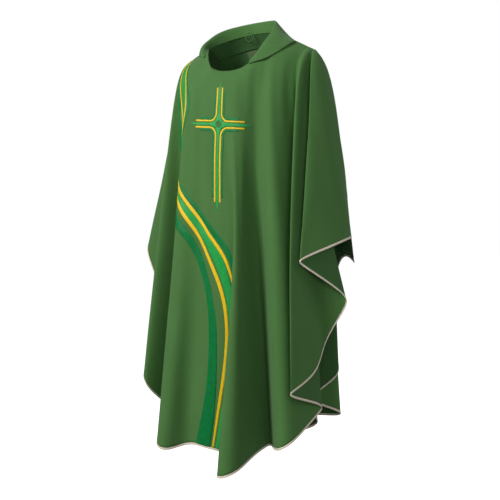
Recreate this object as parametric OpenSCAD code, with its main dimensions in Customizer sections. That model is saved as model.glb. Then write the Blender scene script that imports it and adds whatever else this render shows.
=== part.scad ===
// Gothic chasuble, worn and hanging in folds from the wearer's shoulders.
// The origin is between the shoulders at the base of the neck, +Z up, -Y in
// front of the wearer and +X towards the wearer's left hand. Millimetres.
// Each panel is a smooth sheet through a set of fold lines that run from the
// neck or shoulder seam down to the hem.

/* [Cloth] */
// Thickness of the green cloth
cloth_t = 1.4; // [0.8:0.1:3]
// Width of the braid along the hem
braid_w = 6; // [4:1:12]
// Thickness of the braid along the hem
braid_t = 3.2; // [2:0.2:6]

/* [Embroidery] */
// Height of the stitching above the cloth
stitch_t = 1.2; // [0.6:0.2:3]
// Width of the gold cords of the cross
cord_w = 5.5; // [3:0.5:10]
// Width of the dark green borders of the cross
border_w = 8; // [3:0.5:14]
// Height of the middle of the cross below the base of the neck
cross_drop = 272; // [240:2:320]
// Length of the upper arm of the cross
arm_top = 128; // [100:2:160]
// Length of the lower arm of the cross
arm_low = 264; // [200:2:300]
// Length of each side arm of the cross
arm_side = 105; // [80:1:120]

/* [Hidden] */

green = [0.26, 0.44, 0.22];
inside_green = [0.20, 0.36, 0.17];
bright_green = [0.12, 0.60, 0.27];
dark_green = [0.02, 0.42, 0.24];
gold = [0.93, 0.74, 0.12];
champagne = [0.86, 0.79, 0.69];

// Front fold lines, wearer's right wrist to left wrist: top, chest, mid height, hem
front_folds = [
  [[-195, 0, -55], [-233, 15, -170], [-290, 20, -395], [-355, 40, -615]], // wrist R
  [[-194, 0, -54], [-236, -20, -170], [-304, -25, -430], [-373, -15, -645]], // cuff R
  [[-192, 0, -53], [-215, -50, -170], [-245, -35, -540], [-255, -15, -860]], // outer R
  [[-189, 0, -52], [-205, -85, -170], [-255, -105, -590], [-293, -115, -1010]], // tip R1
  [[-185, 0, -50], [-200, -95, -170], [-240, -130, -600], [-286, -160, -1080]], // tip R2
  [[-180, 0, -47], [-186, -82, -170], [-186, -58, -610], [-230, -50, -1160]], // valley R1
  [[-174, 0, -44], [-168, -102, -170], [-146, -92, -610], [-200, -75, -1190]], // valley R2
  [[-166, 0, -39], [-145, -125, -170], [-155, -170, -620], [-225, -170, -1240]], // ridge R1
  [[-156, 0, -34], [-120, -135, -170], [-130, -188, -620], [-200, -195, -1265]], // ridge R2
  [[-142, 0, -27], [-95, -145, -170], [-96, -186, -620], [-162, -195, -1273]], // front R1
  [[-128, 0, -19], [-65, -150, -180], [-56, -176, -620], [-122, -132, -1250]], // front R2
  [[-117, -18, -22], [-35, -156, -190], [-22, -183, -620], [-46, -170, -1255]], // front R3
  [[-96, -66, -50], [-10, -158, -200], [26, -181, -620], [65, -165, -1270]], // hide 1
  [[-66, -106, -88], [13, -158, -200], [82, -172, -620], [104, -176, -1280]], // hide 2
  [[-28, -122, -106], [28, -158, -200], [80, -188, -620], [62, -225, -1298]], // nose 1
  [[12, -124, -109], [42, -158, -200], [85, -203, -620], [59, -300, -1320]], // nose 2
  [[56, -116, -103], [62, -156, -200], [100, -198, -620], [118, -295, -1312]], // nose 3
  [[88, -89, -70], [86, -150, -190], [98, -172, -620], [134, -200, -1270]], // fall 1
  [[110, -29, -4], [104, -139, -180], [106, -118, -620], [138, -98, -1240]], // valley L1
  [[126, 0, 14], [122, -132, -170], [134, -124, -620], [168, -116, -1240]], // valley L2
  [[150, 0, 3], [150, -134, -170], [186, -176, -620], [220, -210, -1243]], // ridge L1
  [[176, 0, -10], [170, -122, -170], [215, -160, -620], [270, -190, -1215]], // ridge L2
  [[196, 0, -19], [190, -103, -170], [234, -104, -620], [284, -98, -1160]], // back L
  [[212, 0, -27], [205, -80, -170], [250, -48, -620], [296, -46, -1130]], // under L1
  [[222, 0, -32], [215, -72, -170], [264, -56, -620], [302, -52, -1114]], // under L2
  [[228, 0, -35], [225, -98, -170], [244, -172, -620], [272, -220, -1075]], // tip A1
  [[233, 0, -37], [235, -98, -170], [252, -176, -600], [275, -223, -1062]], // tip A2
  [[237, 0, -39], [243, -68, -160], [274, -120, -580], [310, -100, -1015]], // curl A
  [[238, 0, -40], [247, -52, -160], [294, -80, -575], [310, -72, -925]], // curl A2
  [[240, 0, -40], [250, -42, -160], [310, -42, -570], [368, -32, -820]], // under A1
  [[242, 0, -41], [255, -38, -160], [318, -46, -550], [381, -38, -783]], // under A2
  [[245, 0, -43], [263, -68, -160], [272, -136, -500], [274, -164, -688]], // tip B1
  [[247, 0, -44], [270, -64, -160], [278, -136, -480], [277, -167, -676]], // tip B2
  [[248, 0, -44], [288, -42, -160], [320, -70, -430], [340, -90, -640]], // over arm L
  [[250, 0, -44], [298, -16, -168], [338, -14, -395], [379, -6, -608]], // over arm L2
  [[250, 0, -45], [300, 10, -170], [334, 26, -390], [340, 50, -616]], // wrist L
];

// Back fold lines in the same order and with the same four points each
back_folds = [
  [[-195, 0, -55], [-233, 15, -170], [-290, 20, -395], [-355, 40, -615]], // wrist R
  [[-194, 0, -54], [-226, 44, -170], [-280, 55, -440], [-315, 75, -690]], // b cuff R
  [[-192, 0, -53], [-218, 60, -170], [-255, 65, -540], [-265, 80, -870]], // b outer R
  [[-189, 0, -52], [-210, 90, -170], [-260, 120, -590], [-300, 165, -1030]], // b tip R1
  [[-184, 0, -49], [-202, 102, -170], [-245, 140, -600], [-285, 195, -1090]], // b tip R2
  [[-178, 0, -46], [-188, 112, -170], [-180, 120, -610], [-205, 135, -1150]], // b valley R1
  [[-170, 0, -42], [-174, 120, -170], [-145, 125, -610], [-160, 130, -1180]], // b valley R2
  [[-160, 0, -36], [-156, 128, -170], [-150, 190, -620], [-195, 240, -1230]], // b ridge R1
  [[-146, 0, -29], [-138, 134, -170], [-120, 205, -620], [-160, 265, -1255]], // b ridge R2
  [[-130, 0, -20], [-118, 140, -170], [-85, 185, -620], [-95, 225, -1260]], // b fall R1
  [[-122, 18, -13], [-96, 146, -170], [-60, 165, -620], [-60, 180, -1260]], // b valley R3
  [[-108, 46, 0], [-72, 150, -170], [-36, 170, -620], [-30, 185, -1275]], // b valley R4
  [[-86, 72, 12], [-46, 152, -170], [-18, 195, -620], [-20, 240, -1275]], // b ridge C1
  [[-52, 88, 24], [-18, 153, -170], [12, 200, -620], [20, 260, -1285]], // b ridge C2
  [[-12, 96, 30], [12, 153, -170], [40, 190, -620], [60, 235, -1275]], // b ridge C3
  [[30, 92, 32], [42, 151, -170], [55, 160, -620], [70, 165, -1255]], // b valley L1
  [[66, 76, 29], [70, 148, -170], [78, 150, -620], [90, 145, -1245]], // b valley L2
  [[98, 48, 24], [98, 142, -170], [110, 175, -620], [130, 195, -1235]], // b ridge L1
  [[116, 18, 20], [126, 134, -170], [145, 175, -620], [170, 195, -1215]], // b ridge L2
  [[128, 0, 13], [150, 126, -170], [168, 140, -620], [180, 135, -1185]], // b fall L1
  [[154, 0, 1], [172, 116, -170], [188, 110, -620], [200, 100, -1170]], // b valley L3
  [[182, 0, -13], [194, 108, -170], [230, 125, -620], [274, 122, -1174]], // b ridge L3
  [[202, 0, -22], [210, 98, -170], [250, 108, -620], [310, 74, -1152]], // b ridge L4
  [[218, 0, -30], [220, 80, -170], [242, 60, -620], [226, 34, -1126]], // b under L1
  [[228, 0, -35], [230, 70, -170], [246, 50, -600], [226, 20, -1102]], // b under L2
  [[235, 0, -38], [242, 70, -160], [270, 64, -580], [303, 44, -1044]], // b tip L1
  [[240, 0, -40], [255, 70, -160], [280, 74, -560], [309, 54, -1016]], // b tip L2
  [[244, 0, -42], [270, 65, -160], [280, 86, -500], [250, 96, -840]], // b inner L
  [[246, 0, -43], [284, 52, -160], [306, 70, -440], [296, 86, -630]], // b wrist in L
  [[248, 0, -44], [292, 40, -165], [319, 58, -430], [388, 10, -708]], // b cuff L
  [[249, 0, -44], [296, 30, -168], [326, 46, -410], [332, 72, -660]], // b cuff out L
  [[250, 0, -45], [300, 10, -170], [334, 26, -390], [340, 50, -616]], // wrist L
];

// Collar, from the front left end round the back to the front right end:
// neck seam, roll line, middle of the fall, free edge of the fall
collar_folds = [
  [[75, -98, -82], [77, -104, -80], [79, -109, -82], [81, -113, -88]],
  [[90, -79, -60], [92, -80, -48], [99, -100, -62], [103, -110, -81]],
  [[103, -48, -26], [94, -47, -12], [112, -80, -40], [126, -102, -76]],
  [[114, -22, -2], [98, -14, 20], [131, -53, -12], [156, -80, -57]],
  [[122, -4, 12], [91, 22, 50], [136, -16, 12], [178, -43, -28]],
  [[110, 28, 21], [77, 54, 82], [124, 27, 15], [188, -4, -10]],
  [[80, 64, 27], [46, 84, 87], [114, 75, 26], [174, 56, -32]],
  [[46, 85, 31], [4, 100, 89], [68, 106, 23], [124, 98, -44]],
  [[6, 95, 32], [-38, 98, 85], [9, 123, 20], [54, 134, -46]],
  [[-34, 93, 28], [-76, 82, 76], [-49, 117, 15], [-18, 138, -48]],
  [[-70, 80, 19], [-108, 58, 65], [-99, 97, 6], [-82, 122, -54]],
  [[-98, 58, 7], [-129, 30, 47], [-131, 67, -7], [-122, 94, -64]],
  [[-116, 30, -6], [-137, 3, 18], [-149, 30, -12], [-153, 52, -52]],
  [[-126, 6, -17], [-133, -24, -4], [-151, -10, -10], [-163, 4, -28]],
  [[-122, -14, -24], [-124, -48, -28], [-133, -46, -33], [-140, -40, -43]],
  [[-104, -46, -40], [-104, -64, -52], [-103, -70, -54], [-102, -72, -56]]
];

// Embroidered band, as [fold line, height step] from the shoulder to the hem
dark_outer_right = [
  [6.7, 0], [6.7, 0.6], [6.9, 1.2], [7.35, 1.5], [7.95, 1.72], [8.4, 1.92], [7.9, 2.15],
  [7, 2.34], [7, 2.52], [7.7, 2.62], [8.6, 2.69], [9.45, 2.765], [10.4, 2.85],
  [11.2, 2.935], [11.9, 3.03], [12.4, 3.12], [12.8, 3.26], [13.25, 3.55], [13.5, 4.2],
  [13.5, 5]
];
dark_outer_left = [
  [6.2, 0], [6.2, 0.6], [6.4, 1.2], [6.9, 1.5], [7.5, 1.72], [8, 1.93], [7.5, 2.15],
  [6.7, 2.36], [6.8, 2.55], [7.67, 2.65], [8.4, 2.72], [9.3, 2.79], [10.2, 2.88],
  [10.9, 2.965], [11.6, 3.06], [12.15, 3.155], [12.5, 3.28], [12.95, 3.55], [13.3, 4.2],
  [13.3, 5]
];
bright_right = [
  [5.8, 0], [5.8, 0.6], [6, 1.2], [6.45, 1.5], [7, 1.72], [7.45, 1.95], [6.9, 2.17],
  [6.2, 2.4], [6.7, 2.62], [7.9, 2.735], [9, 2.81], [9.9, 2.9], [10.6, 2.98],
  [11.3, 3.08], [11.9, 3.18], [12.2, 3.3], [12.5, 3.5], [12.75, 3.75], [12.75, 4.2],
  [12.4, 4.6], [12, 5]
];
bright_left = [
  [4.5, 0], [4.5, 0.6], [4.65, 1.2], [4.9, 1.5], [5.3, 1.74], [5.75, 1.97], [5.75, 2.2],
  [5.75, 2.47], [6.5, 2.67], [7.6, 2.785], [8.9, 2.87], [9.7, 2.96], [10.4, 3.05],
  [10.95, 3.14], [11.4, 3.24], [11.7, 3.35], [11.95, 3.47], [12.2, 3.68], [12.15, 4.1],
  [11.6, 4.57], [11.35, 5]
];
dark_inner_right = [
  [4, 0], [4, 0.6], [4.2, 1.2], [4.5, 1.55], [4.9, 1.8], [5.35, 2.02], [5.4, 2.25],
  [5.7, 2.56], [7.3, 2.845], [8.7, 2.955], [9.65, 3.05], [10.5, 3.2], [11, 3.36],
  [11.25, 3.54], [11.45, 3.72], [11.5, 3.95], [11.45, 4.3], [11.35, 4.64], [11.15, 5]
];
dark_inner_left = [
  [3.4, 0], [3.4, 0.6], [3.6, 1.2], [3.95, 1.55], [4.4, 1.8], [4.85, 2.05], [4.9, 2.3],
  [5.6, 2.65], [7.2, 2.95], [8.3, 3.015], [9, 3.07], [9.8, 3.19], [10.35, 3.33],
  [10.75, 3.48], [11, 3.68], [11.06, 3.95], [11.02, 4.3], [10.8, 4.65], [10.45, 5]
];
// Gold lines as [fold line, height step, half width across, half width down]
gold_outer_line = [
  [6, 0, 0.12, 0], [6, 0.6, 0.12, 0], [6.2, 1.2, 0.12, 0], [6.7, 1.5, 0.12, 0],
  [7.3, 1.72, 0.12, 0], [7.8, 1.95, 0.12, 0], [7.2, 2.17, 0.1, 0],
  [6.4, 2.4, 0.1, -0.01], [7, 2.62, 0.1, -0.015], [8.1, 2.72, 0.1, -0.012],
  [9.1, 2.8, 0.09, -0.012], [10, 2.89, 0.09, -0.012], [10.7, 2.97, 0.09, -0.01],
  [11.4, 3.07, 0.09, -0.01], [12, 3.17, 0.09, -0.008], [12.4, 3.32, 0.08, -0.006],
  [12.85, 3.6, 0.07, 0], [13.1, 4.2, 0.05, 0], [13.1, 5, 0.03, 0]
];
gold_inner_line = [
  [4.2, 0, 0.14, 0], [4.2, 0.6, 0.14, 0], [4.4, 1.3, 0.14, 0], [4.7, 1.6, 0.14, 0],
  [5.1, 1.8, 0.14, 0], [5.6, 2, 0.14, 0], [5.65, 2.2, 0.13, 0], [5.8, 2.5, 0.12, -0.01],
  [7.2, 2.755, 0.12, -0.018], [9.2, 2.92, 0.1, -0.012], [10.1, 3.04, 0.09, -0.01],
  [10.75, 3.15, 0.09, -0.01], [11.4, 3.32, 0.1, -0.008], [11.75, 3.46, 0.1, -0.006],
  [12, 3.64, 0.1, 0], [12.05, 3.9, 0.09, 0], [11.8, 4.25, 0.08, 0],
  [11.5, 4.58, 0.06, 0], [11.25, 5, 0.03, 0]
];

// Weights of four neighbouring control points of a cubic B-spline
function weights(t) = [
  pow(1 - t, 3),
  3 * t * t * t - 6 * t * t + 4,
  3 * t * t + 3 * t + 1 - 3 * t * t * t,
  t * t * t
] / 6;

// Control points with one more at each end, so the curve reaches both ends
function reach(p) = concat([2 * p[0] - p[1]], p, [2 * p[len(p) - 1] - p[len(p) - 2]]);

// Point of the curve at t, where whole numbers are the control points
function along(p, t) =
  let (i = max(0, min(floor(t), len(p) - 4)), w = weights(t - i))
  w[0] * p[i] + w[1] * p[i + 1] + w[2] * p[i + 2] + w[3] * p[i + 3];

// Six heights of one fold line, with two rounding over the shoulder
function heights(f) = [
  f[0],
  [for (i = [0:2]) f[0][i] + (f[1][i] - f[0][i]) * [0.5, 0.62, 0.25][i]],
  f[1],
  f[2],
  (f[2] + f[3]) / 2,
  f[3]
];

front_net = reach([for (f = front_folds) reach(heights(f))]);
back_net = reach([for (f = back_folds) reach(heights(f))]);
collar_net = reach([for (f = collar_folds) reach(f)]);
front_last = len(front_folds) - 1;
back_last = len(back_folds) - 1;
collar_last = len(collar_folds) - 1;

function unit(v) = v / norm(v);

// Point of a sheet at fold line u and height step v
function place(net, u, v) = along(along(net, u), v);

// Outward normal of a sheet there, with side 1 or -1 for back or front
function outward(net, u, v, side) =
  let (e = 0.02)
  side * unit(cross(
    place(net, u + e, v) - place(net, u - e, v),
    place(net, u, v + e) - place(net, u, v - e)
  ));

// Point raised off a sheet by h
function raised(net, u, v, side, h) =
  place(net, u, v) + h * outward(net, u, v, side);

// Closed thin solid between two matching grids of points
module skin(top, bottom) {
  n = len(top);
  m = len(top[0]);
  k = n * m;
  rim = concat(
    [for (j = [0:m - 1]) j],
    [for (i = [1:n - 1]) i * m + m - 1],
    [for (j = [m - 2:-1:0]) (n - 1) * m + j],
    [for (i = [n - 2:-1:1]) i * m]
  );
  quads = [for (i = [0:n - 2]) for (j = [0:m - 2])
    [i * m + j, (i + 1) * m + j, (i + 1) * m + j + 1, i * m + j + 1]];
  polyhedron(
    points = concat([for (r = top) each r], [for (r = bottom) each r]),
    faces = concat(
      [for (q = quads) each [[q[0], q[1], q[2]], [q[0], q[2], q[3]]]],
      [for (q = quads) each [[q[2] + k, q[1] + k, q[0] + k],
                             [q[3] + k, q[2] + k, q[0] + k]]],
      [for (a = [0:len(rim) - 1])
        let (p = rim[a], q = rim[(a + 1) % len(rim)])
        each [[p, q, q + k], [p, q + k, p + k]]]
    )
  );
}

// Part of a sheet between two fold lines and two height steps
module sheet(net, side, u0, u1, nu, v0, v1, nv, low, high) {
  us = [for (i = [0:nu]) u0 + (u1 - u0) * i / nu];
  vs = [for (j = [0:nv]) v0 + (v1 - v0) * j / nv];
  top = [for (u = us) [for (v = vs) raised(net, u, v, side, high)]];
  bottom = [for (u = us) [for (v = vs) raised(net, u, v, side, low)]];
  if (side < 0) skin(top, bottom);
  else skin(bottom, top);
}

// Strip on a sheet between two curves of [fold line, height step]
module strip(net, side, a, b, n, across) {
  pa = reach(a);
  pb = reach(b);
  path = [for (i = [0:n])
    let (p = along(pa, (len(a) - 1) * i / n), q = along(pb, (len(b) - 1) * i / n))
    [for (j = [0:across]) p + (q - p) * j / across]];
  top = [for (r = path) [for (p = r) raised(net, p[0], p[1], side, cloth_t + stitch_t)]];
  low = [for (r = path) [for (p = r) raised(net, p[0], p[1], side, cloth_t - 0.4)]];
  if (side < 0) skin(low, top);
  else skin(top, low);
}

function left_edge(line) = [for (p = line) [p[0] - p[2], p[1] - p[3]]];
function right_edge(line) = [for (p = line) [p[0] + p[2], p[1] + p[3]]];

// Fold line and height step of the chest point at x and z
function find(x, z, u = 12, v = 2, n = 7) =
  n == 0 ? [u, v] :
  let (
    e = 0.05,
    p = place(front_net, u, v),
    a = (place(front_net, u + e, v) - p) / e,
    b = (place(front_net, u, v + e) - p) / e,
    d = a[0] * b[2] - b[0] * a[2],
    dx = x - p[0],
    dz = z - p[2]
  )
  find(x, z, u + (dx * b[2] - dz * b[0]) / d, v + (dz * a[0] - dx * a[2]) / d, n - 1);

// Point on the chest from a flat drawing of the cross, raised by h
function chest(p, h) =
  let (f = find(p[0] + 0.03 * max(0, -p[1] - 100), p[1] - 0.07 * p[0] - cross_drop))
  raised(front_net, f[0], f[1], -1, h);

// Flat rows of points laid on the chest as stitching
module stitched(rows) {
  top = [for (r = rows) [for (p = r) chest(p, cloth_t + stitch_t)]];
  low = [for (r = rows) [for (p = r) chest(p, cloth_t - 0.4)]];
  skin(top, low);
}

// One quarter of the cross follows this line: down, round the corner, out
function corner_line(r, rise, reach_out) = concat(
  [for (i = [0:9]) [33.2 - r, rise + (34 - rise) * i / 9]],
  [for (i = [1:5]) [33.2 - r * cos(18 * i), 34 - r * sin(18 * i)]],
  [for (i = [1:4]) [33.2 + (reach_out - 33.2) * i / 4, 34 - r]]
);

// Two matching corner lines, mirrored into a quarter by sx and sz
module quarter(r0, r1, rise, reach_out, sx, sz) {
  a = corner_line(r0, rise, reach_out);
  b = corner_line(r1, rise, reach_out);
  rows = [for (i = [0:len(a) - 1])
    [[sx * a[i][0], sz * a[i][1]], [sx * b[i][0], sz * b[i][1]]]];
  if (sx * sz > 0) stitched(rows);
  else stitched([for (r = rows) [r[1], r[0]]]);
}

// Half width of the bright arm at distance a, pointed at its tip
function arm_half(a, tip) = min(4.6, 0.5 + (tip - a) * 0.16);

// Rows across one bright arm, from its tip to the open diamond in the middle
function arm_rows(tip) = concat(
  [for (i = [0:12])
    let (a = tip + (34 - tip) * i / 12, w = arm_half(a, tip))
    [[-w, a], [-w / 2, a], [0, a], [w / 2, a], [w, a]]],
  [for (i = [1:4])
    let (t = i / 4, w = 33.2 - 28.6 * cos(45 * t), a = 34 - 28 * sin(45 * t))
    [[-w, a], [-w / 2, 34 - 27.5 * t], [0, 34 - 21 * t], [w / 2, 34 - 27.5 * t], [w, a]]]
);

module gold_cord(rise, sx, sz) {
  color(gold)
  quarter(24 + cord_w / 2, 24 - cord_w / 2, rise, arm_side - 19, sx, sz);
}

module border(rise, sx, sz) {
  color(dark_green)
  quarter(24 - cord_w / 2, 24 - cord_w / 2 - border_w, rise, arm_side - 34, sx, sz);
}

module front_panel() {
  color(green)
  sheet(front_net, -1, 0, front_last, 105, 0, 5, 11, 0, cloth_t);
}

module back_panel() {
  color(green)
  sheet(back_net, 1, 0, back_last, 93, 0, 5, 11, 0, cloth_t);
}

// The upper collar is the layer that shows, rolled over the under collar
module collar_upper() {
  color(green)
  sheet(collar_net, -1, 0, collar_last, 45, 0, 3, 9, cloth_t, 2 * cloth_t);
}

module collar_under() {
  color(inside_green)
  sheet(collar_net, -1, 0, collar_last, 45, 0, 3, 9, 0, cloth_t);
}

module front_neck_facing() {
  color(inside_green)
  sheet(front_net, -1, 10, 19, 18, 0, 0.7, 2, -cloth_t, 0);
}

module back_neck_facing() {
  color(inside_green)
  sheet(back_net, 1, 9, 19, 18, 0, 0.7, 2, -cloth_t, 0);
}

// Seam ridge along a path of points, six wide and three thick
module seam(path) {
  n = len(path);
  rows = [for (i = [0:n - 1])
    let (
      t = unit(path[min(n - 1, i + 1)] - path[max(0, i - 1)]),
      f = unit(cross([0, 1, 0], t))
    )
    [for (c = [[-3, -1.5], [3, -1.5], [3, 1.5], [-3, 1.5]])
      path[i] + [0, c[0], 0] + c[1] * f]];
  polyhedron(
    points = [for (r = rows) each r],
    faces = concat(
      [[0, 1, 2], [0, 2, 3]],
      [for (i = [0:n - 2]) for (j = [0:3])
        let (a = 4 * i + j, b = 4 * i + (j + 1) % 4)
        each [[a, a + 4, b + 4], [a, b + 4, b]]],
      [let (e = 4 * (n - 1)) each [[e, e + 2, e + 1], [e, e + 3, e + 2]]]
    )
  );
}

// Both seams run from the neck over the shoulder and down the arm to the hem
module shoulder_seam_left() {
  color(green)
  seam(concat(
    [for (i = [0:7]) place(front_net, 19 + i * (front_last - 19) / 8, 0)],
    [for (i = [0:20]) place(front_net, front_last, i / 4)]
  ));
}

module shoulder_seam_right() {
  color(green)
  seam(concat(
    [for (i = [0:7]) place(front_net, 10 - i * 10 / 8, 0)],
    [for (i = [0:20]) place(front_net, 0, i / 4)]
  ));
}

// Braid folded over the edge of the hem, starting where the cloth ends
module braid(net, side, last, n) {
  rows = [for (i = [0:n])
    let (
      u = last * i / n,
      p = place(net, u, 5),
      d = unit(p - place(net, u, 4.97)),
      f = outward(net, u, 5, side),
      m = p + f * cloth_t / 2
    )
    [m - f * braid_t / 2, m + d * braid_w - f * braid_t / 2,
     m + d * braid_w + f * braid_t / 2, m + f * braid_t / 2]];
  ends = 4 * n;
  flip = side > 0;
  faces = concat(
    [[0, 1, 2], [0, 2, 3]],
    [for (i = [0:n - 1]) for (j = [0:3])
      let (a = 4 * i + j, b = 4 * i + (j + 1) % 4)
      each [[a, a + 4, b + 4], [a, b + 4, b]]],
    [[ends, ends + 2, ends + 1], [ends, ends + 3, ends + 2]]
  );
  polyhedron(
    points = [for (r = rows) each r],
    faces = flip ? [for (q = faces) [q[2], q[1], q[0]]] : faces
  );
}

module hem_braid_front() {
  color(champagne)
  braid(front_net, -1, front_last, 105);
}

module hem_braid_back() {
  color(champagne)
  braid(back_net, 1, back_last, 93);
}

module cross_arm_top() {
  color(bright_green)
  stitched([for (r = arm_rows(arm_top)) [for (i = [4:-1:0]) [r[i][0], r[i][1]]]]);
}

module cross_arm_bottom() {
  color(bright_green)
  stitched([for (r = arm_rows(arm_low)) [for (p = r) [p[0], -p[1]]]]);
}

module cross_arm_left() {
  color(bright_green)
  stitched([for (r = arm_rows(arm_side)) [for (p = r) [p[1], p[0]]]]);
}

module cross_arm_right() {
  color(bright_green)
  stitched([for (r = arm_rows(arm_side)) [for (p = r) [-p[1], -p[0]]]]);
}

module gold_cord_top_left() { gold_cord(arm_top - 16, 1, 1); }
module gold_cord_top_right() { gold_cord(arm_top - 16, -1, 1); }
module gold_cord_low_left() { gold_cord(arm_low - 26, 1, -1); }
module gold_cord_low_right() { gold_cord(arm_low - 26, -1, -1); }
module border_top_left() { border(arm_top - 31, 1, 1); }
module border_top_right() { border(arm_top - 31, -1, 1); }
module border_low_left() { border(arm_low - 42, 1, -1); }
module border_low_right() { border(arm_low - 42, -1, -1); }

module band_dark_outer(net, side) {
  color(dark_green)
  strip(net, side, dark_outer_left, dark_outer_right, 48, 2);
}

module band_gold_outer(net, side) {
  color(gold)
  strip(net, side, left_edge(gold_outer_line), right_edge(gold_outer_line), 48, 1);
}

module band_bright(net, side) {
  color(bright_green)
  strip(net, side, bright_left, bright_right, 48, 2);
}

module band_gold_inner(net, side) {
  color(gold)
  strip(net, side, left_edge(gold_inner_line), right_edge(gold_inner_line), 48, 1);
}

module band_dark_inner(net, side) {
  color(dark_green)
  strip(net, side, dark_inner_left, dark_inner_right, 48, 2);
}

module front_band_dark_outer() { band_dark_outer(front_net, -1); }
module front_band_gold_outer() { band_gold_outer(front_net, -1); }
module front_band_bright() { band_bright(front_net, -1); }
module front_band_gold_inner() { band_gold_inner(front_net, -1); }
module front_band_dark_inner() { band_dark_inner(front_net, -1); }
module back_band_dark_outer() { band_dark_outer(back_net, 1); }
module back_band_gold_outer() { band_gold_outer(back_net, 1); }
module back_band_bright() { band_bright(back_net, 1); }
module back_band_gold_inner() { band_gold_inner(back_net, 1); }
module back_band_dark_inner() { band_dark_inner(back_net, 1); }

// Blank label sewn inside the back of the neck
module neck_label() {
  color(champagne)
  sheet(back_net, 1, 12.6, 14.6, 6, 0.75, 1.05, 2, -0.8, 0);
}

// Cord loop for hanging, sewn in above the label
module hanger_loop() {
  color(inside_green)
  translate(place(back_net, 13.6, 0) + [0, -4, -4])
  rotate([90, 0, 0])
  rotate_extrude(angle = 360)
  translate([14, 0])
  circle(r = 1.6, $fn = 12);
}

front_panel();
back_panel();
collar_upper();
collar_under();
front_neck_facing();
back_neck_facing();
shoulder_seam_left();
shoulder_seam_right();
hem_braid_front();
hem_braid_back();
cross_arm_top();
cross_arm_bottom();
cross_arm_left();
cross_arm_right();
gold_cord_top_left();
gold_cord_top_right();
gold_cord_low_left();
gold_cord_low_right();
border_top_left();
border_top_right();
border_low_left();
border_low_right();
front_band_dark_outer();
front_band_gold_outer();
front_band_bright();
front_band_gold_inner();
front_band_dark_inner();
back_band_dark_outer();
back_band_gold_outer();
back_band_bright();
back_band_gold_inner();
back_band_dark_inner();
neck_label();
hanger_loop();
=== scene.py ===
"""Chasuble: cloth, collar, braid and embroidery over the CAD frame. Metres, in the CAD's own frame."""
import math

import bpy
import numpy as np
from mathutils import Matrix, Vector


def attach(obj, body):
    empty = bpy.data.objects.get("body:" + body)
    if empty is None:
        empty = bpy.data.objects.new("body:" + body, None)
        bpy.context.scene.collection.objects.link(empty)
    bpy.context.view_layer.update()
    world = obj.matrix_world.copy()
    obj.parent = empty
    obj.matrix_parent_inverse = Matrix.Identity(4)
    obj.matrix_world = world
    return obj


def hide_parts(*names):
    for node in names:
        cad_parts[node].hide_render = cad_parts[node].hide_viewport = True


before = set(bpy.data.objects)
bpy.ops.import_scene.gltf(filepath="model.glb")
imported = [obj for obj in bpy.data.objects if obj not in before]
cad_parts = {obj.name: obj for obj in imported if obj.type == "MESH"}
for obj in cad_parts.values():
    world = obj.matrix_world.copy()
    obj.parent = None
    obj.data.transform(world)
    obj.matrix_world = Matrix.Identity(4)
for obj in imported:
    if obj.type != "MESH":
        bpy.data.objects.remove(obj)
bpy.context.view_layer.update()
scene = bpy.context.scene

# ---------------------------------------------------------------- camera, floor and light
AZIMUTH, ELEVATION, DISTANCE = math.radians(29), math.radians(1), 4.2
AIM = Vector((0, 0, -0.62))
away = Vector((
    math.sin(AZIMUTH) * math.cos(ELEVATION),
    -math.cos(AZIMUTH) * math.cos(ELEVATION),
    math.sin(ELEVATION),
))
lens = bpy.data.cameras.new("camera")
camera = bpy.data.objects.new("camera", lens)
scene.collection.objects.link(camera)
camera.location = AIM + away * DISTANCE
camera.rotation_euler = away.to_track_quat("Z", "Y").to_euler()
lens.lens, lens.sensor_width = 96, 36
lens.shift_x, lens.shift_y = 0.012, -0.024
lens.clip_end = 60
scene.camera = camera


def material(name):
    m = bpy.data.materials.new(name)
    m.use_nodes = True
    m.node_tree.nodes.clear()
    return m, m.node_tree


def node(tree, kind, **sockets):
    n = tree.nodes.new(kind)
    for key, value in sockets.items():
        key = key.replace("_", " ")
        n.inputs[key].default_value = value
    return n


def area_light(name, place, aim, size, power, colour=(1, 1, 1)):
    data = bpy.data.lights.new(name, "AREA")
    data.shape, data.size, data.size_y = "RECTANGLE", size[0], size[1]
    data.energy, data.color = power, colour
    lamp = bpy.data.objects.new(name, data)
    scene.collection.objects.link(lamp)
    lamp.location = place
    lamp.rotation_euler = (Vector(place) - Vector(aim)).to_track_quat("Z", "Y").to_euler()
    return lamp


world = bpy.data.worlds.new("world")
scene.world = world
world.use_nodes = True
wt = world.node_tree
wt.nodes.clear()
seen = node(wt, "ShaderNodeBackground", Color=(1, 1, 1, 1), Strength=1.0)
fill = node(wt, "ShaderNodeBackground", Color=(0.95, 0.98, 1, 1), Strength=0.16)
path = wt.nodes.new("ShaderNodeLightPath")
mix = wt.nodes.new("ShaderNodeMixShader")
out = wt.nodes.new("ShaderNodeOutputWorld")
wt.links.new(path.outputs["Is Camera Ray"], mix.inputs[0])
wt.links.new(fill.outputs[0], mix.inputs[1])
wt.links.new(seen.outputs[0], mix.inputs[2])
wt.links.new(mix.outputs[0], out.inputs["Surface"])

area_light("key", (-2.2, -4.0, 1.9), (0, 0, -0.5), (1.6, 1.6), 215)
area_light("front_fill", (3.6, -4.0, 0.4), (0, 0, -0.6), (2.4, 2.8), 52)
area_light("back_rim", (-2.5, 4.0, 2.2), (0, 0, -0.4), (2.5, 2.5), 40)
area_light("back_fill", (4.2, 2.6, 1.2), (0, 0, -0.6), (2.0, 2.5), 40)

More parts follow.
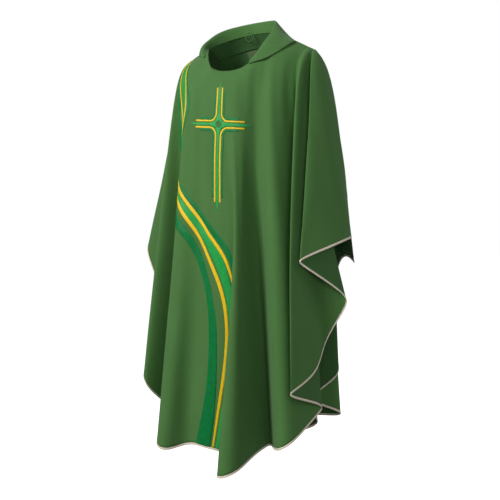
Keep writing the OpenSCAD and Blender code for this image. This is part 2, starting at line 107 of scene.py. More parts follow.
floor_mat, ft = material("floor_paint")
fs = node(
    ft, "ShaderNodeBsdfPrincipled",
    Base_Color=(0.92, 0.92, 0.91, 1), Roughness=0.9, Emission_Color=(1, 1, 1, 1), Emission_Strength=0.9)
fo = ft.nodes.new("ShaderNodeOutputMaterial")
ft.links.new(fs.outputs[0], fo.inputs["Surface"])
FLOOR_HALF, FLOOR_Z = 25, -1.5
floor_corners = [(x * FLOOR_HALF, y * FLOOR_HALF, FLOOR_Z) for x, y in ((-1, -1), (1, -1), (1, 1), (-1, 1))]
floor_mesh = bpy.data.meshes.new("floor")
floor_mesh.from_pydata(floor_corners, [], [(0, 1, 2, 3)])
floor_mesh.materials.append(floor_mat)
floor = bpy.data.objects.new("floor", floor_mesh)
scene.collection.objects.link(floor)
# The pale floor is seen but throws no light on the cloth
floor.visible_diffuse = floor.visible_glossy = False
scene.view_settings.view_transform = "Standard"

# ---------------------------------------------------------------- the garment's own lines
# Front fold lines, wearer's right wrist to left wrist, in mm: top, chest, mid height, hem
FRONT_FOLDS = [
    ((-195, 0, -55), (-233, 15, -170), (-290, 20, -395), (-355, 40, -615)),  # wrist R
    ((-194, 0, -54), (-236, -20, -170), (-304, -25, -430), (-373, -15, -645)),  # cuff R
    ((-192, 0, -53), (-215, -50, -170), (-245, -35, -540), (-255, -15, -860)),  # outer R
    ((-189, 0, -52), (-205, -85, -170), (-255, -105, -590), (-293, -115, -1010)),  # tip R1
    ((-185, 0, -50), (-200, -95, -170), (-240, -130, -600), (-286, -160, -1080)),  # tip R2
    ((-180, 0, -47), (-186, -82, -170), (-186, -58, -610), (-230, -50, -1160)),  # valley R1
    ((-174, 0, -44), (-168, -102, -170), (-146, -92, -610), (-200, -75, -1190)),  # valley R2
    ((-166, 0, -39), (-145, -125, -170), (-155, -170, -620), (-225, -170, -1240)),  # ridge R1
    ((-156, 0, -34), (-120, -135, -170), (-130, -188, -620), (-200, -195, -1265)),  # ridge R2
    ((-142, 0, -27), (-95, -145, -170), (-96, -186, -620), (-162, -195, -1273)),  # front R1
    ((-128, 0, -19), (-65, -150, -180), (-56, -176, -620), (-122, -132, -1250)),  # front R2
    ((-117, -18, -22), (-35, -156, -190), (-22, -183, -620), (-46, -170, -1255)),  # front R3
    ((-96, -66, -50), (-10, -158, -200), (26, -181, -620), (65, -165, -1270)),  # hide 1
    ((-66, -106, -88), (13, -158, -200), (82, -172, -620), (104, -176, -1280)),  # hide 2
    ((-28, -122, -106), (28, -158, -200), (80, -188, -620), (62, -225, -1298)),  # nose 1
    ((12, -124, -109), (42, -158, -200), (85, -203, -620), (59, -300, -1320)),  # nose 2
    ((56, -116, -103), (62, -156, -200), (100, -198, -620), (118, -295, -1312)),  # nose 3
    ((88, -89, -70), (86, -150, -190), (98, -172, -620), (134, -200, -1270)),  # fall 1
    ((110, -29, -4), (104, -139, -180), (106, -118, -620), (138, -98, -1240)),  # valley L1
    ((126, 0, 14), (122, -132, -170), (134, -124, -620), (168, -116, -1240)),  # valley L2
    ((150, 0, 3), (150, -134, -170), (186, -176, -620), (220, -210, -1243)),  # ridge L1
    ((176, 0, -10), (170, -122, -170), (215, -160, -620), (270, -190, -1215)),  # ridge L2
    ((196, 0, -19), (190, -103, -170), (234, -104, -620), (284, -98, -1160)),  # back L
    ((212, 0, -27), (205, -80, -170), (250, -48, -620), (296, -46, -1130)),  # under L1
    ((222, 0, -32), (215, -72, -170), (264, -56, -620), (302, -52, -1114)),  # under L2
    ((228, 0, -35), (225, -98, -170), (244, -172, -620), (272, -220, -1075)),  # tip A1
    ((233, 0, -37), (235, -98, -170), (252, -176, -600), (275, -223, -1062)),  # tip A2
    ((237, 0, -39), (243, -68, -160), (274, -120, -580), (310, -100, -1015)),  # curl A
    ((238, 0, -40), (247, -52, -160), (294, -80, -575), (310, -72, -925)),  # curl A2
    ((240, 0, -40), (250, -42, -160), (310, -42, -570), (368, -32, -820)),  # under A1
    ((242, 0, -41), (255, -38, -160), (318, -46, -550), (381, -38, -783)),  # under A2
    ((245, 0, -43), (263, -68, -160), (272, -136, -500), (274, -164, -688)),  # tip B1
    ((247, 0, -44), (270, -64, -160), (278, -136, -480), (277, -167, -676)),  # tip B2
    ((248, 0, -44), (288, -42, -160), (320, -70, -430), (340, -90, -640)),  # over arm L
    ((250, 0, -44), (298, -16, -168), (338, -14, -395), (379, -6, -608)),  # over arm L2
    ((250, 0, -45), (300, 10, -170), (334, 26, -390), (340, 50, -616)),  # wrist L
]
# Back fold lines in the same order and with the same four points each
BACK_FOLDS = [
    ((-195, 0, -55), (-233, 15, -170), (-290, 20, -395), (-355, 40, -615)),  # wrist R
    ((-194, 0, -54), (-226, 44, -170), (-280, 55, -440), (-315, 75, -690)),  # b cuff R
    ((-192, 0, -53), (-218, 60, -170), (-255, 65, -540), (-265, 80, -870)),  # b outer R
    ((-189, 0, -52), (-210, 90, -170), (-260, 120, -590), (-300, 165, -1030)),  # b tip R1
    ((-184, 0, -49), (-202, 102, -170), (-245, 140, -600), (-285, 195, -1090)),  # b tip R2
    ((-178, 0, -46), (-188, 112, -170), (-180, 120, -610), (-205, 135, -1150)),  # b valley R1
    ((-170, 0, -42), (-174, 120, -170), (-145, 125, -610), (-160, 130, -1180)),  # b valley R2
    ((-160, 0, -36), (-156, 128, -170), (-150, 190, -620), (-195, 240, -1230)),  # b ridge R1
    ((-146, 0, -29), (-138, 134, -170), (-120, 205, -620), (-160, 265, -1255)),  # b ridge R2
    ((-130, 0, -20), (-118, 140, -170), (-85, 185, -620), (-95, 225, -1260)),  # b fall R1
    ((-122, 18, -13), (-96, 146, -170), (-60, 165, -620), (-60, 180, -1260)),  # b valley R3
    ((-108, 46, 0), (-72, 150, -170), (-36, 170, -620), (-30, 185, -1275)),  # b valley R4
    ((-86, 72, 12), (-46, 152, -170), (-18, 195, -620), (-20, 240, -1275)),  # b ridge C1
    ((-52, 88, 24), (-18, 153, -170), (12, 200, -620), (20, 260, -1285)),  # b ridge C2
    ((-12, 96, 30), (12, 153, -170), (40, 190, -620), (60, 235, -1275)),  # b ridge C3
    ((30, 92, 32), (42, 151, -170), (55, 160, -620), (70, 165, -1255)),  # b valley L1
    ((66, 76, 29), (70, 148, -170), (78, 150, -620), (90, 145, -1245)),  # b valley L2
    ((98, 48, 24), (98, 142, -170), (110, 175, -620), (130, 195, -1235)),  # b ridge L1
    ((116, 18, 20), (126, 134, -170), (145, 175, -620), (170, 195, -1215)),  # b ridge L2
    ((128, 0, 13), (150, 126, -170), (168, 140, -620), (180, 135, -1185)),  # b fall L1
    ((154, 0, 1), (172, 116, -170), (188, 110, -620), (200, 100, -1170)),  # b valley L3
    ((182, 0, -13), (194, 108, -170), (230, 125, -620), (274, 122, -1174)),  # b ridge L3
    ((202, 0, -22), (210, 98, -170), (250, 108, -620), (310, 74, -1152)),  # b ridge L4
    ((218, 0, -30), (220, 80, -170), (242, 60, -620), (226, 34, -1126)),  # b under L1
    ((228, 0, -35), (230, 70, -170), (246, 50, -600), (226, 20, -1102)),  # b under L2
    ((235, 0, -38), (242, 70, -160), (270, 64, -580), (303, 44, -1044)),  # b tip L1
    ((240, 0, -40), (255, 70, -160), (280, 74, -560), (309, 54, -1016)),  # b tip L2
    ((244, 0, -42), (270, 65, -160), (280, 86, -500), (250, 96, -840)),  # b inner L
    ((246, 0, -43), (284, 52, -160), (306, 70, -440), (296, 86, -630)),  # b wrist in L
    ((248, 0, -44), (292, 40, -165), (319, 58, -430), (388, 10, -708)),  # b cuff L
    ((249, 0, -44), (296, 30, -168), (326, 46, -410), (332, 72, -660)),  # b cuff out L
    ((250, 0, -45), (300, 10, -170), (334, 26, -390), (340, 50, -616)),  # wrist L
]
# Collar: neck seam, roll line, middle of the fall, free edge, from front left round the back
COLLAR = [
    ((75, -98, -82), (77, -104, -80), (79, -109, -82), (81, -113, -88)),
    ((90, -79, -60), (92, -80, -48), (99, -100, -62), (103, -110, -81)),
    ((103, -48, -26), (94, -47, -12), (112, -80, -40), (126, -102, -76)),
    ((114, -22, -2), (98, -14, 20), (131, -53, -12), (156, -80, -57)),
    ((122, -4, 12), (91, 22, 50), (136, -16, 12), (178, -43, -28)),
    ((110, 28, 21), (77, 54, 82), (124, 27, 15), (188, -4, -10)),
    ((80, 64, 27), (46, 84, 87), (114, 75, 26), (174, 56, -32)),
    ((46, 85, 31), (4, 100, 89), (68, 106, 23), (124, 98, -44)),
    ((6, 95, 32), (-38, 98, 85), (9, 123, 20), (54, 134, -46)),
    ((-34, 93, 28), (-76, 82, 76), (-49, 117, 15), (-18, 138, -48)),
    ((-70, 80, 19), (-108, 58, 65), (-99, 97, 6), (-82, 122, -54)),
    ((-98, 58, 7), (-129, 30, 47), (-131, 67, -7), (-122, 94, -64)),
    ((-116, 30, -6), (-137, 3, 18), (-149, 30, -12), (-153, 52, -52)),
    ((-126, 6, -17), (-133, -24, -4), (-151, -10, -10), (-163, 4, -28)),
    ((-122, -14, -24), (-124, -48, -28), (-133, -46, -33), (-140, -40, -43)),
    ((-104, -46, -40), (-104, -64, -52), (-103, -70, -54), (-102, -72, -56)),
]
# Band edges as (fold line, height step), from the shoulder to the hem
DARK_OUTER_RIGHT = [
    (6.7, 0), (6.7, 0.6), (6.9, 1.2), (7.35, 1.5), (7.95, 1.72), (8.4, 1.92), (7.9, 2.15), (7, 2.34),
    (7, 2.52), (7.7, 2.62), (8.6, 2.69), (9.45, 2.765), (10.4, 2.85), (11.2, 2.935), (11.9, 3.03),
    (12.4, 3.12), (12.8, 3.26), (13.25, 3.55), (13.5, 4.2), (13.5, 5),
]
DARK_OUTER_LEFT = [
    (6.2, 0), (6.2, 0.6), (6.4, 1.2), (6.9, 1.5), (7.5, 1.72), (8, 1.93), (7.5, 2.15), (6.7, 2.36),
    (6.8, 2.55), (7.67, 2.65), (8.4, 2.72), (9.3, 2.79), (10.2, 2.88), (10.9, 2.965), (11.6, 3.06),
    (12.15, 3.155), (12.5, 3.28), (12.95, 3.55), (13.3, 4.2), (13.3, 5),
]
BRIGHT_RIGHT = [
    (5.8, 0), (5.8, 0.6), (6, 1.2), (6.45, 1.5), (7, 1.72), (7.45, 1.95), (6.9, 2.17), (6.2, 2.4),
    (6.7, 2.62),
    (7.9, 2.735), (9, 2.81), (9.9, 2.9), (10.6, 2.98), (11.3, 3.08), (11.9, 3.18), (12.2, 3.3), (12.5, 3.5),
    (12.75, 3.75), (12.75, 4.2), (12.4, 4.6), (12, 5),
]
BRIGHT_LEFT = [
    (4.5, 0), (4.5, 0.6), (4.65, 1.2), (4.9, 1.5), (5.3, 1.74), (5.75, 1.97), (5.75, 2.2), (5.75, 2.47),
    (6.5, 2.67), (7.6, 2.785), (8.9, 2.87), (9.7, 2.96), (10.4, 3.05), (10.95, 3.14), (11.4, 3.24),
    (11.7, 3.35), (11.95, 3.47), (12.2, 3.68), (12.15, 4.1), (11.6, 4.57), (11.35, 5),
]
DARK_INNER_RIGHT = [
    (4, 0), (4, 0.6), (4.2, 1.2), (4.5, 1.55), (4.9, 1.8), (5.35, 2.02), (5.4, 2.25), (5.7, 2.56),
    (7.3, 2.845), (8.7, 2.955), (9.65, 3.05), (10.5, 3.2), (11, 3.36), (11.25, 3.54), (11.45, 3.72),
    (11.5, 3.95), (11.45, 4.3), (11.35, 4.64), (11.15, 5),
]
DARK_INNER_LEFT = [
    (3.4, 0), (3.4, 0.6), (3.6, 1.2), (3.95, 1.55), (4.4, 1.8), (4.85, 2.05), (4.9, 2.3), (5.6, 2.65),
    (7.2, 2.95), (8.3, 3.015), (9, 3.07), (9.8, 3.19), (10.35, 3.33), (10.75, 3.48), (11, 3.68),
    (11.06, 3.95),
    (11.02, 4.3), (10.8, 4.65), (10.45, 5),
]
# Gold lines as (fold line, height step, half width across, half width down)
GOLD_OUTER = [
    (6, 0, 0.12, 0), (6, 0.6, 0.12, 0), (6.2, 1.2, 0.12, 0), (6.7, 1.5, 0.12, 0), (7.3, 1.72, 0.12, 0),
    (7.8, 1.95, 0.12, 0), (7.2, 2.17, 0.1, 0), (6.4, 2.4, 0.1, -0.01), (7, 2.62, 0.1, -0.015),
    (8.1, 2.72, 0.1, -0.012), (9.1, 2.8, 0.09, -0.012), (10, 2.89, 0.09, -0.012), (10.7, 2.97, 0.09, -0.01),
    (11.4, 3.07, 0.09, -0.01), (12, 3.17, 0.09, -0.008), (12.4, 3.32, 0.08, -0.006), (12.85, 3.6, 0.07, 0),
    (13.1, 4.2, 0.05, 0), (13.1, 5, 0.03, 0),
]
GOLD_INNER = [
    (4.2, 0, 0.14, 0), (4.2, 0.6, 0.14, 0), (4.4, 1.3, 0.14, 0), (4.7, 1.6, 0.14, 0), (5.1, 1.8, 0.14, 0),
    (5.6, 2, 0.14, 0), (5.65, 2.2, 0.13, 0), (5.8, 2.5, 0.12, -0.01), (7.2, 2.755, 0.12, -0.018),
    (9.2, 2.92, 0.1, -0.012), (10.1, 3.04, 0.09, -0.01), (10.75, 3.15, 0.09, -0.01),
    (11.4, 3.32, 0.1, -0.008),
    (11.75, 3.46, 0.1, -0.006), (12, 3.64, 0.1, 0), (12.05, 3.9, 0.09, 0), (11.8, 4.25, 0.08, 0),
    (11.5, 4.58, 0.06, 0), (11.25, 5, 0.03, 0),
]
CLOTH, STITCH = 0.0011, 0.0008
# Height step of the hem, and the fold lines where the neckline starts and ends
HEM = 5
FRONT_NECK, BACK_NECK = (10, 19), (9, 19)
CROSS_DROP, ARM_TOP, ARM_LOW, ARM_SIDE = 0.272, 0.128, 0.264, 0.105


# ---------------------------------------------------------------- cubic B-spline sheets
def reach(p):
    p = np.asarray(p, float)
    return np.concatenate([[2 * p[0] - p[1]], p, [2 * p[-1] - p[-2]]])


def weights(count, t):
    """Matrix of B-spline weights of count control points, plus one at each end, at the places t."""
    t = np.asarray(t, float)
    i = np.clip(np.floor(t).astype(int), 0, count - 2)
    f = t - i
    w = np.zeros((len(t), count + 2))
    rows = np.arange(len(t))
    for k, b in enumerate(((1 - f) ** 3, 3 * f**3 - 6 * f**2 + 4, 1 + 3 * f + 3 * f**2 - 3 * f**3, f**3)):
        w[rows, i + k] = b / 6
    return w


def curve(points, t):
    return weights(len(points), t) @ reach(points)


def fold_net(folds):
    rows = []
    for a, b, m, c in np.asarray(folds, float) / 1000:
        roll = a + (b - a) * (0.5, 0.62, 0.25)
        rows.append([a, roll, b, m, (m + c) / 2, c])
    return np.array(rows)


class Sheet:
    """A sheet through fold lines. side is 1 where the outside faces backwards, -1 where it faces forwards."""

    def __init__(self, net, side, ripple=None):
        self.net, self.side, self.ripple = np.asarray(net, float), side, ripple
        self.last, self.steps = len(net) - 1, self.net.shape[1] - 1
        ext = reach(self.net)
        self.ext = np.stack([reach(r) for r in ext])

    def flat(self, u, v):
        """Smooth surface points at matching arrays u, v."""
        wu = weights(self.last + 1, u)
        wv = weights(self.steps + 1, v)
        return np.einsum("ni,ijk,nj->nk", wu, self.ext, wv, optimize=True)

    def normal(self, f, u, v, e=0.01):
        n = np.cross(f(u + e, v) - f(u - e, v), f(u, v + e) - f(u, v - e))
        return self.side * n / np.maximum(np.linalg.norm(n, axis=1, keepdims=True), 1e-12)

    def point(self, u, v):
        p = self.flat(u, v)
        if self.ripple is None:
            return p
        return p + self.normal(self.flat, u, v) * self.ripple(u, v)[:, None]

    def raised(self, u, v, h):
        """Points h outside the rippled sheet."""
        u, v = np.asarray(u, float).ravel(), np.asarray(v, float).ravel()
        return self.point(u, v) + self.normal(self.point, u, v) * np.reshape(h, (-1, 1))


def front_ripple(u, v):
    """Small soft creases between the big folds, none at the neck."""
    low = np.clip(v / 2.2, 0, 1) ** 1.5
    a = 0.0016 * np.sin(2.1 * u + 0.5 * v) * np.sin(0.9 * v + 0.37 * u)
    b = 0.0010 * np.sin(4.3 * u - 0.8 * v + 1.3) * np.sin(1.7 * v - 0.21 * u)
    return (a + b) * low


def back_ripple(u, v):
    """The same on the back, with creases of its own."""
    low = np.clip(v / 2.2, 0, 1) ** 1.5
    a = 0.0018 * np.sin(2.0 * u - 0.4 * v + 0.6) * np.sin(0.8 * v + 0.41 * u)
    b = 0.0010 * np.sin(3.9 * u + 0.9 * v) * np.sin(1.5 * v - 0.3 * u + 1)
    return (a + b) * low


front = Sheet(fold_net(FRONT_FOLDS), -1, front_ripple)
back = Sheet(fold_net(BACK_FOLDS), 1, back_ripple)
collar = Sheet(np.asarray(COLLAR, float) / 1000, -1)


# ---------------------------------------------------------------- meshes
def add_mesh(name, verts, faces, mats, uv=None, face_mats=None, smooth=True):
    mesh = bpy.data.meshes.new(name)
    mesh.vertices.add(len(verts))
    mesh.vertices.foreach_set("co", np.asarray(verts, "f").ravel())
    faces = [np.asarray(f, "i").reshape(-1, f_size(f)) for f in faces]
    loops = np.concatenate([f.ravel() for f in faces])
    sizes = np.concatenate([np.full(len(f), f.shape[1]) for f in faces])
    mesh.loops.add(len(loops))
    mesh.loops.foreach_set("vertex_index", loops)
    mesh.polygons.add(len(sizes))
    mesh.polygons.foreach_set("loop_start", np.concatenate([[0], np.cumsum(sizes)[:-1]]).astype("i"))
    mesh.polygons.foreach_set("loop_total", sizes.astype("i"))
    if face_mats is not None:
        mesh.polygons.foreach_set("material_index", np.asarray(face_mats, "i"))
    mesh.polygons.foreach_set("use_smooth", np.full(len(sizes), smooth))
    if uv is not None:
        layer = mesh.uv_layers.new(name="UVMap")
        layer.data.foreach_set("uv", np.asarray(uv, "f")[loops].ravel())
    mesh.update(calc_edges=True)
    mesh.validate()
    for m in mats:
        mesh.materials.append(m)
    o = bpy.data.objects.new(name, mesh)
    scene.collection.objects.link(o)
    return o


def f_size(f):
    return np.asarray(f).shape[-1]


def shell(name, top, bottom, mats, uv=None, split=False):
    """Closed thin piece between two matching grids (rows, columns, 3). The top is the outside."""
    n, m = top.shape[:2]
    i, j = np.meshgrid(np.arange(n - 1), np.arange(m - 1), indexing="ij")
    a = (i * m + j).ravel()
    quads = np.stack([a, a + 1, a + m + 1, a + m], 1)
    k = n * m
    under = quads[:, ::-1] + k
    rim = np.concatenate([
        np.arange(m), np.arange(1, n) * m + m - 1,
        (n - 1) * m + np.arange(m - 2, -1, -1), np.arange(n - 2, 0, -1) * m,
    ])
    nxt = np.roll(rim, -1)
    edge = np.stack([nxt, rim, rim + k, nxt + k], 1)
    faces = np.concatenate([quads, under, edge])
    verts = np.concatenate([top.reshape(-1, 3), bottom.reshape(-1, 3)])
    p, q, r = (verts[faces[0][c]] for c in (0, 1, 2))
    if np.dot(np.cross(q - p, r - q), verts[0] - verts[k]) < 0:
        faces = faces[:, ::-1]
    coords = None
    if uv is not None:
        coords = np.concatenate([uv.reshape(-1, 2)] * 2)
    kinds = None
    if split:
        kinds = np.concatenate([np.zeros(len(quads)), np.ones(len(under)), np.zeros(len(edge))])
    o = add_mesh(name, verts, [faces], mats, coords, kinds)
    return o


def grid_on(sheet, us, vs, h):
    u, v = np.meshgrid(us, vs, indexing="ij")
    return sheet.raised(u, v, h).reshape(len(us), len(vs), 3)


def lengths(points):
    d = np.linalg.norm(np.diff(points, axis=0), axis=1)
    return np.concatenate([[0], np.cumsum(d)])


def grid_uv(grid):
    """UV in metres of cloth: across at mid height, and down each fold line."""
    across = lengths(grid[:, grid.shape[1] // 2])
    uv = np.zeros(grid.shape[:2] + (2,))
    for i in range(len(grid)):
        uv[i, :, 0] = across[i]
        uv[i, :, 1] = lengths(grid[i])
    return uv


def sheet_piece(name, sheet, us, vs, low, high, mats, split=False):
    top, bottom = grid_on(sheet, us, vs, high), grid_on(sheet, us, vs, low)
    return shell(name, top, bottom, mats, grid_uv(top), split)


def strip_piece(name, sheet, left, right, n, across, mats, swell=STITCH, start=0.0, end=1.0):
    """Satin stitch between two curves on a sheet, slightly domed across."""
    left, right = np.asarray(left, float), np.asarray(right, float)
    t = start + (end - start) * np.linspace(0, 1, n + 1)
    a, b = curve(left, t * (len(left) - 1)), curve(right, t * (len(right) - 1))
    s = np.linspace(0, 1, across + 1)
    uv = a[:, None] + (b - a)[:, None] * s[None, :, None]
    dome = np.sqrt(np.clip(1 - (2 * s - 1) ** 6, 0, 1))
    h = CLOTH + swell * (0.25 + 0.75 * dome)
    top = sheet.raised(uv[..., 0], uv[..., 1], np.tile(h, n + 1)).reshape(n + 1, across + 1, 3)
    low = sheet.raised(uv[..., 0], uv[..., 1], CLOTH * 0.5).reshape(n + 1, across + 1, 3)
    along = lengths(top[:, across // 2])
    coords = np.zeros(top.shape[:2] + (2,))
    for i in range(n + 1):
        coords[i, :, 0] = lengths(top[i])
        coords[i, :, 1] = along[i]
    return shell(name, top, low, mats, coords)


# ---------------------------------------------------------------- cloth and thread materials
def ramp(tree, source, dark, light, lo=0.0, hi=1.0):
    r = tree.nodes.new("ShaderNodeMapRange")
    r.inputs["From Min"].default_value, r.inputs["From Max"].default_value = lo, hi
    tree.links.new(source, r.inputs["Value"])
    mixer = tree.nodes.new("ShaderNodeMix")
    mixer.data_type = "RGBA"
    mixer.inputs["A"].default_value, mixer.inputs["B"].default_value = dark, light
    tree.links.new(r.outputs["Result"], mixer.inputs["Factor"])
    return mixer.outputs["Result"]


def stripes(tree, vector, scale, direction="X", distortion=0.0, profile="SIN"):
    w = tree.nodes.new("ShaderNodeTexWave")
    w.wave_type, w.bands_direction, w.wave_profile = "BANDS", direction, profile
    w.inputs["Scale"].default_value, w.inputs["Distortion"].default_value = scale, distortion
    tree.links.new(vector, w.inputs["Vector"])
    return w.outputs["Fac"]


def combine(tree, a, b, operation):
    m = tree.nodes.new("ShaderNodeMath")
    m.operation = operation
    tree.links.new(a, m.inputs[0])
    if isinstance(b, (int, float)):
        m.inputs[1].default_value = b
    else:
        tree.links.new(b, m.inputs[1])
    return m.outputs[0]


def finish_material(m, tree, colour, height, rough, bump=0.25, depth=0.0003, sheen=0.25, sheen_rough=0.4,
                    tint=(1, 1, 1, 1), specular=0.25, aniso=0.0):
    s = tree.nodes.new("ShaderNodeBsdfPrincipled")
    s.inputs["Roughness"].default_value = rough
    s.inputs["Sheen Weight"].default_value = sheen
    s.inputs["Sheen Roughness"].default_value = sheen_rough
    s.inputs["Sheen Tint"].default_value = tint
    s.inputs["Specular IOR Level"].default_value = specular
    s.inputs["Anisotropic"].default_value = aniso
    tree.links.new(colour, s.inputs["Base Color"])
    b = tree.nodes.new("ShaderNodeBump")
    b.inputs["Strength"].default_value, b.inputs["Distance"].default_value = bump, depth
    tree.links.new(height, b.inputs["Height"])
    tree.links.new(b.outputs[0], s.inputs["Normal"])
    o = tree.nodes.new("ShaderNodeOutputMaterial")
    tree.links.new(s.outputs[0], o.inputs["Surface"])
    return m


def twill(name, base, light, rough=0.82, sheen=0.3):
    """Fine twill: diagonal ribs over crossing yarns, with slow changes of shade."""
    m, tree = material(name)
    uv = tree.nodes.new("ShaderNodeUVMap")
    uv.uv_map = "UVMap"
    rib = stripes(tree, uv.outputs[0], 380, "DIAGONAL")
    warp = stripes(tree, uv.outputs[0], 620, "X")
    weft = stripes(tree, uv.outputs[0], 620, "Y")
    yarn = combine(tree, warp, weft, "MULTIPLY")
    height = combine(tree, combine(tree, rib, 0.7, "MULTIPLY"), combine(tree, yarn, 0.5, "MULTIPLY"), "ADD")
    cloud = tree.nodes.new("ShaderNodeTexNoise")
    cloud.inputs["Scale"].default_value, cloud.inputs["Detail"].default_value = 9, 5
    slub = tree.nodes.new("ShaderNodeTexNoise")
    slub.inputs["Scale"].default_value = 240
    tree.links.new(uv.outputs[0], slub.inputs["Vector"])
    slow = combine(tree, cloud.outputs["Fac"], 0.5, "MULTIPLY")
    weave = combine(tree, height, 0.25, "MULTIPLY")
    uneven = combine(tree, slub.outputs["Fac"], 0.25, "MULTIPLY")
    shade = combine(tree, slow, combine(tree, weave, uneven, "ADD"), "ADD")
    colour = ramp(tree, shade, base, light, 0.2, 0.85)
    green_sheen = (0.75, 0.95, 0.7, 1)
    return finish_material(m, tree, colour, height, rough, 0.35, 0.00025, sheen, 0.45, green_sheen, 0.2)


def satin(name, dark, light, rough=0.38, sheen=0.2, specular=0.5, period=900, tint=(1, 1, 1, 1)):
    """Satin stitch: parallel threads laid across the piece, in rows that break the light."""
    m, tree = material(name)
    uv = tree.nodes.new("ShaderNodeUVMap")
    uv.uv_map = "UVMap"
    thread = stripes(tree, uv.outputs[0], period, "Y", 1.2)
    lie = tree.nodes.new("ShaderNodeTexNoise")
    lie.inputs["Scale"].default_value, lie.inputs["Detail"].default_value = 60, 3
    tree.links.new(uv.outputs[0], lie.inputs["Vector"])
    threads = combine(tree, thread, 0.45, "MULTIPLY")
    uneven = combine(tree, lie.outputs["Fac"], 0.55, "MULTIPLY")
    shade = combine(tree, threads, uneven, "ADD")
    colour = ramp(tree, shade, dark, light, 0.2, 0.8)
    return finish_material(m, tree, colour, thread, rough, 0.4, 0.00025, sheen, 0.3, tint, specular, 0.6)


cloth = twill("green_twill", (0.062, 0.165, 0.041, 1), (0.089, 0.223, 0.060, 1), 0.82, 0.22)
wrong_side = twill("green_twill_inside", (0.048, 0.130, 0.036, 1), (0.066, 0.170, 0.050, 1), 0.9, 0.15)
bright = satin("bright_green_thread", (0.008, 0.300, 0.046, 1), (0.026, 0.455, 0.092, 1), 0.42, 0.05, 0.28)
dark = satin("dark_green_thread", (0.001, 0.150, 0.030, 1), (0.006, 0.250, 0.062, 1), 0.42, 0.0, 0.22)
gold = satin("gold_thread", (0.90, 0.50, 0.004, 1), (1.00, 0.72, 0.015, 1), 0.40, 0.05, 0.35)
braid_mat = satin("champagne_braid", (0.76, 0.64, 0.49, 1), (0.95, 0.85, 0.71, 1), 0.4, 0.3, 0.5, 420)
thread_mat = satin("sewing_thread", (0.060, 0.150, 0.045, 1), (0.11, 0.24, 0.085, 1), 0.5, 0.1, 0.35, 1400)
tape_mat = twill("label_tape", (0.10, 0.16, 0.07, 1), (0.16, 0.23, 0.11, 1), 0.7, 0.1)

# ---------------------------------------------------------------- panels
pieces = {}
NU, NV = ((520, 190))
pieces["front_panel_cloth"] = sheet_piece(
    "front_panel_cloth", front, np.linspace(0, front.last, NU), np.linspace(0, HEM, NV),
    0, CLOTH, [cloth, wrong_side], True)
pieces["back_panel_cloth"] = sheet_piece(
    "back_panel_cloth", back, np.linspace(0, back.last, NU), np.linspace(0, HEM, NV),
    0, CLOTH, [cloth, wrong_side], True)
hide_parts("front_panel")
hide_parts("back_panel")

# ---------------------------------------------------------------- collar
collar_us, collar_vs = np.linspace(0, collar.last, 200), np.linspace(0, 3, 70)
pieces["collar_upper_cloth"] = sheet_piece(
    "collar_upper_cloth", collar, collar_us, collar_vs, 0.0014, 0.0026, [cloth, wrong_side], True)
pieces["collar_under_cloth"] = sheet_piece(
    "collar_under_cloth", collar, collar_us, collar_vs, 0.0001, 0.0013, [wrong_side, wrong_side], True)
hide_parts("collar_upper")
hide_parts("collar_under")

# ---------------------------------------------------------------- facings
for side_name, sheet, neck in (("front", front, FRONT_NECK), ("back", back, BACK_NECK)):
    name = f"{side_name}_facing_cloth"
    pieces[name] = sheet_piece(
        name, sheet, np.linspace(*neck, 90), np.linspace(0, 0.7, 20), -0.0012, -0.0001, [wrong_side])
    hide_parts(f"{side_name}_neck_facing")


# ---------------------------------------------------------------- sweeps along a path
def sweep(name, centre, across, lift, section, mats):
    """Closed sweep of a section, a list of (across, lift) in metres, along points with frames."""
    section = np.asarray(section, float)
    n, k = len(centre), len(section)
    verts = centre[:, None] + across[:, None] * section[None, :, :1] + lift[:, None] * section[None, :, 1:]
    i, j = np.meshgrid(np.arange(n - 1), np.arange(k), indexing="ij")
    a, b = (i * k + j).ravel(), (i * k + (j + 1) % k).ravel()
    quads = np.stack([a, b, b + k, a + k], 1)
    caps = np.array([np.arange(k)[::-1], (n - 1) * k + np.arange(k)])
    along = lengths(centre)
    girth = np.concatenate([[0], np.cumsum(np.linalg.norm(np.diff(section, axis=0), axis=1))])
    uv = np.stack(np.broadcast_arrays(girth[None, :], along[:, None]), -1)
    o = add_mesh(name, verts.reshape(-1, 3), [quads, caps], mats, uv.reshape(-1, 2))
    return o


def rounded_box(w0, w1, t, steps=3):
    """Section from w0 to w1 across and t thick, with rounded corners."""
    r = t * 0.48
    out = []
    right, left, high, low = w1 - r, w0 + r, t / 2 - r, r - t / 2
    for cx, cy, a0 in ((right, high, 0), (left, high, 90), (left, low, 180), (right, low, 270)):
        for s in range(steps + 1):
            a = math.radians(a0 + 90 * s / steps)
            out.append((cx + r * math.cos(a), cy + r * math.sin(a)))
    return out


def braid_piece(name, sheet, n):
    """Braid folded over the hem, from just inside the cloth's edge to 6 mm past it."""
    u = np.linspace(0, sheet.last, n)
    v = np.full(n, float(HEM))
    p = sheet.point(u, v)
    d = p - sheet.point(u, v - 0.03)
    d /= np.linalg.norm(d, axis=1, keepdims=True)
    f = sheet.normal(sheet.point, u, v)
    return sweep(name, p + f * CLOTH / 2, d, f, rounded_box(-0.0012, 0.006, 0.0026), [braid_mat])


pieces["front_hem_braid"] = braid_piece("front_hem_braid", front, 1100)
pieces["back_hem_braid"] = braid_piece("back_hem_braid", back, 1000)
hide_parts("hem_braid_front")
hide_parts("hem_braid_back")


